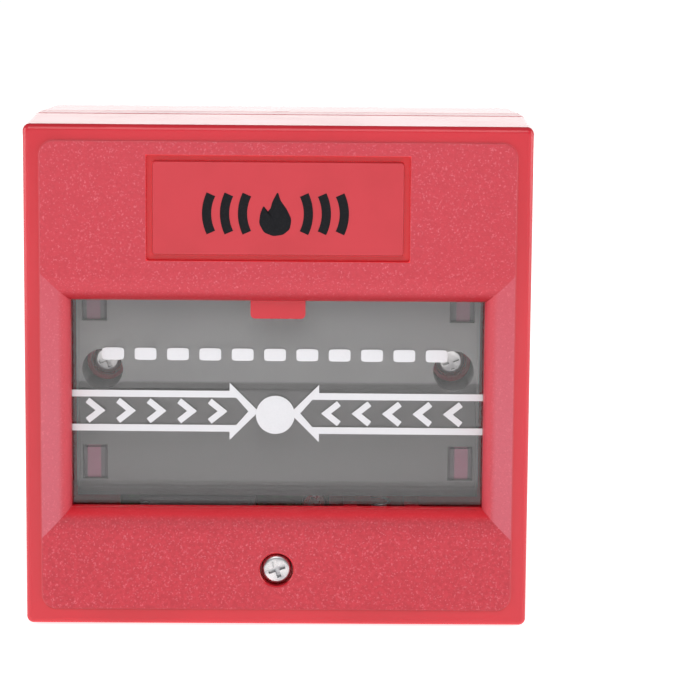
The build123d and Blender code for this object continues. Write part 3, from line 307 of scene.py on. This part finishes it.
dress(
    moulded("switch_case", (0.022, 0.022, 0.024), (0.034, 0.034, 0.036), 0.34, 0.25 * MM),
    "microswitch_base",
    "microswitch_cap",
)
acetal = moulded("plunger_acetal", (0.45, 0.03, 0.025), (0.36, 0.02, 0.018), 0.28, 0.2 * MM)
dress(acetal, "microswitch_plunger")

# ---------------------------------------------------------------- terminal block
# Four-way block of green polyamide that passes through the frame's floor; each way has a brass clamp,
# a slotted screw reached from behind and a tinned pin soldered to the board.

dress(moulded("terminal_polyamide", (0.03, 0.24, 0.09), (0.02, 0.17, 0.06), 0.40, 0.3 * MM), "terminal_block")

# ---------------------------------------------------------------- reset slider and spring
# White acetal slider in its rails above the key slot, and a coil of spring wire that pushes it down.
# The coil has one closed turn at each end and stands between the slider's pin and the shelf above.

dress(moulded("white_acetal", (0.76, 0.75, 0.71), (0.68, 0.67, 0.62), 0.30, 0.25 * MM), "reset_slider")


def grid_faces(rows, columns, around=False):
    """Four-cornered faces of a grid of points stored row by row; around closes each row on itself."""
    row, column = np.meshgrid(np.arange(rows - 1), np.arange(columns - (not around)), indexing="ij")
    nearer = row * columns
    following = (column + 1) % columns
    corners = (nearer + column, nearer + following, nearer + columns + following, nearer + columns + column)
    return np.stack([corner.ravel() for corner in corners], axis=1)


def add_piece(name, points, faces, finish, body):
    """A new mesh from an array of points and lists of faces, in its finish, riding on a CAD body."""
    mesh = bpy.data.meshes.new(name)
    mesh.from_pydata(points.tolist(), [], [list(map(int, face)) for face in faces])
    mesh.validate()
    mesh.polygons.foreach_set("use_smooth", np.ones(len(mesh.polygons), bool))
    mesh.set_sharp_from_angle(angle=radians(40))
    mesh.materials.append(finish.material)
    piece = bpy.data.objects.new(name, mesh)
    bpy.context.scene.collection.objects.link(piece)
    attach(piece, body)
    return piece


def coil(centre, radius, wire, low, high, turns, steps=36, sides=10):
    """Round wire carried along a helix that climbs slowly in its first and last turn.

    Point = centre + radius (cos a, sin a) + wire (cos b across, sin b along the axis), a running through
    all turns and b once around the wire; the height follows a smooth step whose ends are flat.
    """
    along = np.linspace(0, 1, turns * steps + 1)
    angle = tau * turns * along
    eased = np.clip((along * turns - 0.75) / (turns - 1.5), 0, 1)
    slope = 2 * wire / (high - low - 2 * wire)
    climb = eased * (1 - 2 * slope) + slope * np.clip(along * turns / 0.75, 0, 1)
    climb = climb + slope * np.clip((along * turns - turns + 0.75) / 0.75, 0, 1)
    height = low + wire + climb * (high - low - 2 * wire)
    around = np.linspace(0, tau, sides, endpoint=False)
    reach = radius + wire * np.cos(around)[None, :]
    points = np.stack(
        [
            centre[0] + reach * np.cos(angle)[:, None],
            centre[1] + reach * np.sin(angle)[:, None],
            height[:, None] + wire * np.sin(around)[None, :],
        ],
        axis=-1,
    ).reshape(-1, 3)
    ends = [list(range(sides))[::-1], list(range(len(points) - sides, len(points)))]
    return points, [*grid_faces(len(along), sides, True), *ends]


spring_low, spring_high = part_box("reset_spring")
SPRING_WIRE = 0.22 * MM
SPRING_TURNS = 7
spring_middle = (spring_low + spring_high) / 2
spring_radius = (spring_high.x - spring_low.x) / 2 - SPRING_WIRE
points, faces = coil(
    (spring_middle.x, spring_middle.y), spring_radius, SPRING_WIRE, spring_low.z, spring_high.z, SPRING_TURNS
)
reset_coil = add_piece("reset_coil", points, faces, spring_steel, "housing")
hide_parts("reset_spring")
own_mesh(reset_coil)

# ---------------------------------------------------------------- grey panel
# Flat moulding clipped behind the press plate that hides the works: mid-grey ABS with a fine satin grain, a
# little dusty.
# Painted shade darkens its lower field, the strip at its foot, its bottom edge and a band along the shallow
# step between the two fields.

STEP = -3.2 * MM            # height of the step between the two fields
STEP_SHADE = -2.8 * MM
LEDGE = -19.6 * MM
panel = Finish("grey_panel")
satin = panel.noise(0.22 * MM, 3.0)
clouds = panel.noise(9 * MM, 4.0)
specks = panel.rise(panel.noise(0.35 * MM, 1.0), 0.70, 0.78)
panel_z = panel.axes()[2]
upper_field = panel.rise(panel_z, STEP - 0.2 * MM, STEP + 0.2 * MM)
ledge_shade = panel.rise(panel_z, LEDGE + 0.3 * MM, LEDGE - 0.3 * MM)
bottom_edge_shade = panel.rise(panel_z, LEDGE - 1.1 * MM, LEDGE - 1.7 * MM)
step_shade = panel.rise(abs(panel_z - STEP_SHADE), 1.0 * MM, 0.25 * MM)
# painted shade: the lower field darker than the upper, darker again on the strip at its foot, along its
# bottom edge and in a band by the step
grey = panel.blend(upper_field, (0.148, 0.149, 0.150), (0.242, 0.247, 0.247))
grey = panel.blend(ledge_shade, grey, (0.086, 0.085, 0.085))
grey = panel.blend(bottom_edge_shade, grey, (0.030, 0.027, 0.027))
grey = panel.blend(0.9 * step_shade, grey, (0.055, 0.055, 0.055))
grey = panel.blend(0.20 * panel.rise(clouds, 0.3, 0.75), grey, (0.12, 0.119, 0.119))
panel.set(
    {
        "Base Color": panel.blend(0.15 * specks, grey, (0.40, 0.40, 0.41)),
        "Roughness": 0.52 + 0.12 * satin,
        "Normal": panel.bump(satin, 0.003 * MM, 0.3),
    }
)
dress(panel, "inner_panel")

# ---------------------------------------------------------------- press plate
# Clear polycarbonate plate on two trunnions, polished, with a few hairline rubs.  White ink is screened
# on its front: a dot with an arrow on either side, rows of chevrons and a dashed line above.

plate = Finish("clear_plate", Base_Color=(0.975, 0.965, 0.965), Transmission_Weight=1.0, IOR=1.45)
rubs = plate.rise(plate.noise(0.35 * MM, 3.0, (0.10, 1.0, 1.0)), 0.60, 0.85)
plate.set(
    {
        "Roughness": 0.010 + 0.035 * rubs + 0.02 * plate.noise(6 * MM, 3.0),
        "Normal": plate.bump(plate.noise(9 * MM, 1.0), 0.01 * MM, 0.3),
    }
)
# rays on their way to a lamp pass straight through, so the panel behind is lit as it would be
lamp_ray = plate.node("ShaderNodeLightPath", {}, {}, "Is Shadow Ray")
passing = plate.node("ShaderNodeBsdfTransparent", {}, {"Color": (0.94, 0.935, 0.935)})
solid = Wire(plate, plate.shader.outputs["BSDF"])
shown = plate.node("ShaderNodeMixShader", {}, {0: lamp_ray, 1: solid, 2: passing})
plate.tree.links.new(shown.socket, plate.tree.nodes["Material Output"].inputs["Surface"])
dress(plate, "press_plate")

white_ink = Finish("white_ink", IOR=1.45)
ink_grain = white_ink.noise(0.18 * MM, 3.0)
white_ink.set(
    {
        "Base Color": white_ink.blend(
            white_ink.rise(ink_grain, 0.45, 0.8), (0.70, 0.71, 0.735), (0.64, 0.65, 0.675)
        ),
        "Roughness": 0.44 + 0.12 * ink_grain,
        "Normal": white_ink.bump(ink_grain, 0.008 * MM, 0.5),
    }
)

INK = 0.035 * MM


def band(one, other, front):
    """Low flat-topped line between two side edges, each a run of (x, z) points.

    A rectangle whose width is the space between the edges is carried along them and closed at its ends.
    """
    one, other = np.asarray(one, float), np.asarray(other, float)
    ring = np.concatenate([one, other[::-1]])
    following = np.roll(ring, -1, axis=0)
    if np.sum(ring[:, 0] * following[:, 1] - ring[:, 1] * following[:, 0]) < 0:
        one, other = other, one
    corners = ((one, 0), (one, INK), (other, INK), (other, 0))
    rings = [np.stack([p[:, 0], np.full(len(p), front - lift), p[:, 1]], axis=1) for p, lift in corners]
    points = np.stack(rings, axis=1).reshape(-1, 3)
    faces = grid_faces(len(one), 4, True)[:, ::-1].tolist()
    return points, [*faces, [0, 1, 2, 3], [len(points) - 1 - i for i in range(4)]]


def stroke(path, width, front):
    """Printed line of even width along a path of (x, z) points, mitred at its corners.

    Each side edge lies half the width away along the mitre, which is the mean of the two neighbouring
    normals, lengthened by one over the cosine of half the turn.
    """
    path = np.asarray(path, float)
    ahead = np.diff(path, axis=0)
    ahead /= np.linalg.norm(ahead, axis=1, keepdims=True)
    ahead = np.concatenate([ahead[:1], ahead, ahead[-1:]])
    normals = np.stack([-ahead[:, 1], ahead[:, 0]], axis=1)
    mitre = normals[1:] + normals[:-1]
    mitre /= np.sum(mitre * normals[1:], axis=1, keepdims=True)
    return band(path + mitre * width / 2, path - mitre * width / 2, front)


def blot(outline, front, centre):
    """Flat printed patch: rings shrink evenly from an outline of (x, z) points to its centre.

    Point = centre + s (outline - centre), s from 1 to 0; the ink keeps its height up to the last ring.
    """
    outline = np.asarray(outline, float)
    shares = np.array([1.0, 1.0, 0.985, 0.5])
    lifts = np.array([0.0, 0.8 * INK, INK, INK])
    flat = centre + shares[:, None, None] * (outline[None] - centre)
    depth = np.broadcast_to((front - lifts)[:, None], flat.shape[:2])
    points = np.stack([flat[..., 0], depth, flat[..., 1]], axis=-1).reshape(-1, 3)
    middle = np.array([[centre[0], front - INK, centre[1]]])
    size = len(outline)
    faces = grid_faces(len(shares), size, True).tolist()
    last = len(points) - size
    faces += [[last + i, last + (i + 1) % size, len(points)] for i in range(size)]
    faces.append(list(range(size))[::-1])
    return np.concatenate([points, middle]), faces


def rounded(centre, half_width, half_height, power=2.0, count=48):
    """Outline of a superellipse: power 2 is an ellipse, larger powers near a rounded rectangle."""
    angle = np.linspace(0, -tau, count, endpoint=False)
    across, up = np.cos(angle), np.sin(angle)
    reach = (np.abs(across) ** power + np.abs(up) ** power) ** (-1 / power)
    return np.stack([centre[0] + half_width * reach * across, centre[1] + half_height * reach * up], axis=1)


def join(shapes):
    """Several (points, faces) pairs as one."""
    starts = np.cumsum([0, *(len(points) for points, _ in shapes)])
    faces = [[int(i) + start for i in face] for (_, part), start in zip(shapes, starts) for face in part]
    return np.concatenate([points for points, _ in shapes]), faces


plate_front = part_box("press_plate")[0].y
DOT = (-0.4, -7.05)
DOT_RADIUS = 3.3
ARROWS = ((1, -8.2, -6.5, -35.1), (-1, 7.05, -6.75, 35.1))  # way, base of head, height, outer end
LINE = 1.15
LINE_LEVEL = 2.95           # line to the arrow's axis
HEAD = 4.95                 # half height of an arrowhead, whose sides run at 45 degrees
HEAD_CORNER = 1.13          # where the arrow's outline leaves its lines
HEAD_DEPTH = 3.2            # base of the head to the point of its inner outline
CHEVRON = (2.2, 1.75)
CHEVRON_LINE = 1.05
CHEVRON_START = 1.2
CHEVRON_STEP = 5.2
CHEVRONS = 5
DASH, DASH_HEIGHT, DASH_STEP, DASHES = 3.7, 2.1, 5.5, 11
DASH_LEVEL = 3.3
PRINT_TILT = radians(-0.12)
dot = np.multiply(DOT, MM)
shapes = [blot(rounded(dot, DOT_RADIUS * MM, DOT_RADIUS * MM), plate_front - 0.2 * INK, dot)]
for way, base, row, edge in ARROWS:
    for half in (1, -1):
        level = row + half * LINE_LEVEL
        inside = row + half * (LINE_LEVEL - LINE / 2)
        shapes.append(stroke(np.multiply([(edge, level), (base, level)], MM), LINE * MM, plate_front))
        tip = (base + way * HEAD, row)
        outer = [(base, row + half * HEAD), (base + way * HEAD / 2, row + half * HEAD / 2), tip]
        inner = [(base, inside), (base + way * HEAD_CORNER, inside), (base + way * HEAD_DEPTH, row)]
        shapes.append(band(np.multiply(outer, MM), np.multiply(inner, MM), plate_front))
    for number in range(CHEVRONS):
        nose = base - way * (CHEVRON_START + CHEVRON_STEP * number)
        back = nose - way * CHEVRON[0]
        chevron = [(back, row + CHEVRON[1]), (nose, row), (back, row - CHEVRON[1])]
        shapes.append(stroke(np.multiply(chevron, MM), CHEVRON_LINE * MM, plate_front))
for number in range(DASHES):
    middle = np.multiply((-0.5 + (number - (DASHES - 1) / 2) * DASH_STEP, DASH_LEVEL), MM)
    dash = rounded(middle, DASH / 2 * MM, DASH_HEIGHT / 2 * MM, 6.0)
    shapes.append(blot(dash, plate_front, middle))
points, faces = join(shapes)
points[:, 2] += points[:, 0] * PRINT_TILT
add_piece("plate_print", points, faces, white_ink, "plate")

# ---------------------------------------------------------------- cover
# Hinged front shell in red ABS.  Its raised panel and the rolled edge of the window have a spark-eroded grain
# that fades
# before the window's inner edge; the rim, the outside and the tab are polished.  Painted light and shade lie
# in its colour:
# paler sheen on the rolls beside the window, glints in the grain, grain lighter towards the top, a highlight
# along the panel's edge with shade at its foot, a brighter label groove, a lit lower roll and a shaded upper
# roll.

cover = Finish("red_cover", IOR=1.53)
cover_x, cover_y, cover_z = cover.axes()
cover_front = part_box("front_cover")[0].y
PANEL_HALF = 39.9 * MM
PANEL_CORNER = 2.5 * MM
GRAIN_START = 4.0 * MM
GRAIN_FULL = 2.9 * MM
label_low, label_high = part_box("label_plate")
label_middle = (label_low + label_high) / 2
GROOVE = 1.05 * MM
recess_half_width = (label_high.x - label_low.x) / 2 + GROOVE
recess_half_height = (label_high.z - label_low.z) / 2 + GROOVE
screw_low, screw_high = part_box("cover_screw")
screw_middle = (screw_low + screw_high) / 2
WELL = 3.1 * MM
WINDOW_HALF_WIDTH = 34.95 * MM
WINDOW_HALF_HEIGHT = 17.75 * MM
WINDOW_MIDDLE = -5.0 * MM

far_x = abs(cover_x)
far_z = abs(cover_z)
beyond_x = (far_x - (PANEL_HALF - PANEL_CORNER)).larger(0.0)
beyond_z = (far_z - (PANEL_HALF - PANEL_CORNER)).larger(0.0)
from_corner = (beyond_x**2.0 + beyond_z**2.0) ** 0.5
inside_rim = cover.rise(from_corner, PANEL_CORNER, PANEL_CORNER - 0.2 * MM)
proud = cover.rise(cover_y, cover_front + GRAIN_START, cover_front + GRAIN_FULL)
beside = cover.rise(far_x, recess_half_width, recess_half_width + 0.2 * MM)
above = cover.rise(abs(cover_z - label_middle.z), recess_half_height, recess_half_height + 0.2 * MM)
off_label = beside.larger(above)
from_screw = (cover_x**2.0 + (cover_z - screw_middle.z) ** 2.0) ** 0.5
off_screw = cover.rise(from_screw, WELL - 0.1 * MM, WELL + 0.1 * MM)
grained = inside_rim * proud * off_label * off_screw

pebble = cover.noise(0.55 * MM, 2.0)
sand = cover.noise(0.20 * MM, 2.0)
flow = cover.noise(16 * MM, 3.0, (1.0, 1.0, 0.4))
painted_glints = cover.rise(cover.noise(0.32 * MM, 2.0), 0.56, 0.72)
smooth_red = cover.blend(cover.rise(flow, 0.4, 0.8), RED, RED_DEEP)
grain_red = cover.blend(cover.rise(pebble, 0.34, 0.66), (0.450, 0.020, 0.036), (0.520, 0.026, 0.045))
out_x = far_x - WINDOW_HALF_WIDTH
out_z = abs(cover_z - WINDOW_MIDDLE) - WINDOW_HALF_HEIGHT
sideways = cover.rise(out_x - out_z, -0.12 * MM, 0.12 * MM)
# painted sheen: the grain on the rolls beside the window is painted paler and pinker, where it would catch
# the side lamps
painted_sheen_beside_window = sideways * cover.rise(out_x, 0.9 * MM, 2.2 * MM)
grain_red = cover.blend(0.72 * painted_sheen_beside_window, grain_red, (0.56, 0.120, 0.160))
# painted light: the grain is painted lighter and pinker towards the top, as if lit from above
grain_red = cover.blend(0.5 * cover.rise(cover_z, -12 * MM, 24 * MM), grain_red, (0.54, 0.038, 0.060))
# painted glints: fine pale specks over the grain stand in for light catching it
grain_red = cover.blend(0.48 * painted_glints, grain_red, (0.70, 0.17, 0.21))
# painted highlight and shade at the panel's edge: a pale line along its top and sides, a dark one along its
# foot
panel_edge = cover.rise(abs(from_corner - PANEL_CORNER), 0.24 * MM, 0.06 * MM)
edge_highlight_and_shade = cover.blend(cover.rise(cover_z, -39.5 * MM, -39.0 * MM), (0.30, 0.008, 0.014), (0.60, 0.075, 0.10))
smooth_red = cover.blend(0.45 * panel_edge, smooth_red, edge_highlight_and_shade)
# painted light: the smooth red in the label's groove is painted brighter
smooth_red = cover.blend(off_label, (0.76, 0.012, 0.024), smooth_red)
# painted light and shade on the window's rolled edge: the lower roll painted brighter, the upper roll deeper,
# the side rolls paler
rolled = cover.rise(cover_y, cover_front + 0.5 * MM, cover_front + 1.8 * MM) * inside_rim
under = (1.0 - sideways) * cover.rise(cover_z, WINDOW_MIDDLE, WINDOW_MIDDLE - 1 * MM)
over = (1.0 - sideways) * cover.rise(cover_z, WINDOW_MIDDLE, WINDOW_MIDDLE + 1 * MM)
smooth_red = cover.blend(rolled * under, smooth_red, (0.80, 0.012, 0.025))
grain_red = cover.blend(0.8 * rolled * under, grain_red, (0.74, 0.016, 0.030))
grain_red = cover.blend(0.9 * rolled * over, grain_red, (0.40, 0.008, 0.018))
grain_red = cover.blend(0.7 * rolled * sideways, grain_red, (0.64, 0.070, 0.095))
height = pebble + 0.5 * sand
waviness = cover.bump(cover.noise(1.2 * MM, 2.0), 0.012 * MM, 0.5)
cover.set(
    {
        "Base Color": cover.blend(grained, smooth_red, grain_red),
        "Roughness": 0.20 + 0.05 * flow + grained * (0.24 + 0.10 * sand),
        "Normal": cover.bump(height * grained, 0.11 * MM, 0.9, waviness),
    }
)
dress(cover, "front_cover")

# ---------------------------------------------------------------- label plate
# Smooth red plate in a recess of the cover, with a plain black alarm sign pad-printed on it: a flame
# between two sets of arcs.

label = Finish("red_label", IOR=1.53)
label_flow = label.noise(7 * MM, 3.0)
label_dust = label.noise(0.4 * MM, 3.0)
label.set(
    {
        "Base Color": label.blend(
            label.rise(label_flow, 0.35, 0.8), (0.535, 0.026, 0.040), (0.50, 0.023, 0.035)
        ),
        "Roughness": 0.30 + 0.14 * label_dust,
        "Normal": label.bump(label_dust, 0.010 * MM, 0.5),
    }
)
dress(label, "label_plate")

black_ink = Finish("black_ink", IOR=1.45, Specular_IOR_Level=0.2)
black_grain = black_ink.noise(0.25 * MM, 3.0)
black_ink.set(
    {
        "Base Color": black_ink.blend(
            black_ink.rise(black_grain, 0.4, 0.8), (0.004, 0.004, 0.006), (0.009, 0.009, 0.012)
        ),
        "Roughness": 0.42 + 0.14 * black_grain,
        "Normal": black_ink.bump(black_grain, 0.008 * MM, 0.5),
    }
)

SIGN = (-0.45, 27.9)        # middle of the sign
SIGN_HEIGHT = 7.5
FLAME_WIDTH = 6.4
ARC_RADIUS = 7.4
ARC_WIDTH = 1.55
ARC_REACHES = (5.5, 8.5, 11.5)
# the flame's corner points around its middle, in shares of its width and height
FLAME = (
    (0.06, 0.50),
    (0.13, 0.30),
    (0.30, 0.10),
    (0.42, -0.12),
    (0.38, -0.34),
    (0.20, -0.47),
    (-0.06, -0.50),
    (-0.30, -0.42),
    (-0.43, -0.22),
    (-0.40, 0.00),
    (-0.31, 0.19),
    (-0.22, 0.03),
    (-0.13, 0.12),
    (-0.08, 0.28),
)


def softened(outline, rounds=3):
    """Closed outline with its corners cut: each round keeps every side from 0.15 to 0.85 of its length."""
    for _ in range(rounds):
        following = np.roll(outline, -1, axis=0)
        cut = np.stack([0.85 * outline + 0.15 * following, 0.15 * outline + 0.85 * following], axis=1)
        outline = cut.reshape(-1, 2)
    return outline


label_front = label_low.y
sign = np.multiply(SIGN, MM)
flame = sign + softened(np.array(FLAME)) * (FLAME_WIDTH * MM, SIGN_HEIGHT * MM)
shapes = [blot(flame, label_front, sign - (0, 1.2 * MM))]
half_turn = np.arcsin((SIGN_HEIGHT / 2 - 0.55) / ARC_RADIUS)
sweep = np.linspace(-half_turn, half_turn, 17)
arc_z = SIGN[1] + ARC_RADIUS * np.sin(sweep)
for side in (-1, 1):
    for reach in ARC_REACHES:
        arc_x = SIGN[0] + side * (reach + ARC_RADIUS * (np.cos(sweep) - 1))
        shapes.append(stroke(np.stack([arc_x, arc_z], axis=1) * MM, ARC_WIDTH * MM, label_front))
points, faces = join(shapes)
add_piece("label_print", points, faces, black_ink, "cover")

# ---------------------------------------------------------------- studio
# Plain pale floor, an even white surround, and large soft lamps: one high in front, one at each side and
# one low behind that lights the top of the housing at a glancing angle.

floor_finish = Finish("pale_floor", Emission_Color=(1.0, 1.0, 1.0), Emission_Strength=0.80)
paper = floor_finish.noise(1.5 * MM, 3.0)
floor_finish.set(
    {
        "Base Color": floor_finish.blend(paper, (0.86, 0.86, 0.86), (0.90, 0.90, 0.90)),
        "Roughness": 0.80 + 0.1 * paper,
    }
)
FLOOR_HALF = 9.0
edge = np.linspace(-FLOOR_HALF, FLOOR_HALF, 9)
floor_x, floor_y = np.meshgrid(edge, edge, indexing="ij")
floor_points = np.stack([floor_x, floor_y, np.full_like(floor_x, cad_low.z)], axis=-1).reshape(-1, 3)
floor_mesh = bpy.data.meshes.new("floor")
floor_mesh.from_pydata(floor_points.tolist(), [], grid_faces(9, 9)[:, ::-1].tolist())
floor_mesh.materials.append(floor_finish.material)
floor = bpy.data.objects.new("floor", floor_mesh)
bpy.context.scene.collection.objects.link(floor)

world = bpy.data.worlds.new("surround")
bpy.context.scene.world = world
world.use_nodes = True
SURROUND_LIGHT = 0.28
SURROUND_SEEN = 1.0
surround = world.node_tree.nodes["Background"]
surround.inputs["Color"].default_value = (1.0, 1.0, 1.0, 1.0)
seen = world.node_tree.nodes.new("ShaderNodeLightPath")
strength = world.node_tree.nodes.new("ShaderNodeMapRange")
strength.inputs["To Min"].default_value = SURROUND_LIGHT
strength.inputs["To Max"].default_value = SURROUND_SEEN
world.node_tree.links.new(seen.outputs["Is Camera Ray"], strength.inputs["Value"])
world.node_tree.links.new(strength.outputs["Result"], surround.inputs["Strength"])

middle = (cad_low + cad_high) / 2


def soft_lamp(name, offset, size, power):
    """Square area lamp at an offset from the object, turned to face it."""
    lamp = bpy.data.lights.new(name, "AREA")
    lamp.shape = "RECTANGLE"
    lamp.size, lamp.size_y = size
    lamp.energy = power
    holder = bpy.data.objects.new(name, lamp)
    holder.location = middle + Vector(offset)
    holder.rotation_mode = "QUATERNION"
    holder.rotation_quaternion = Vector(offset).to_track_quat("Z", "Y")
    bpy.context.scene.collection.objects.link(holder)
    holder.visible_camera = False


soft_lamp("front_lamp", (-0.06, -0.58, 0.46), (0.6, 0.45), 2.0)
soft_lamp("left_lamp", (-0.75, -0.16, 0.10), (0.5, 0.7), 3.0)
soft_lamp("right_lamp", (0.75, -0.16, 0.10), (0.5, 0.7), 3.2)
soft_lamp("back_lamp", (0.0, 1.1, 0.16), (2.2, 0.28), 3.6)

# ---------------------------------------------------------------- camera
# A long lens a little above the object and slightly to its right, level to within half a degree.

camera_data = bpy.data.cameras.new("camera")
camera_data.lens = 141.9
camera_data.sensor_width = 36.0
camera_data.clip_start = 0.02
camera_data.clip_end = 60.0
camera = bpy.data.objects.new("camera", camera_data)
bpy.context.scene.collection.objects.link(camera)
yaw, pitch, roll = radians(0.735), radians(8.618), radians(0.490)
forward = Vector((sin(yaw) * cos(pitch), cos(yaw) * cos(pitch), -sin(pitch)))
level = Vector((cos(yaw), -sin(yaw), 0))
upward = level.cross(forward)
right = cos(roll) * level + sin(roll) * upward
above_lens = cos(roll) * upward - sin(roll) * level
turn = Matrix((right, above_lens, -forward)).transposed()
camera.matrix_world = Matrix.Translation((0.00630, -0.5108, 0.07456)) @ turn.to_4x4()
bpy.context.scene.camera = camera
bpy.context.scene.view_settings.view_transform = "Standard"
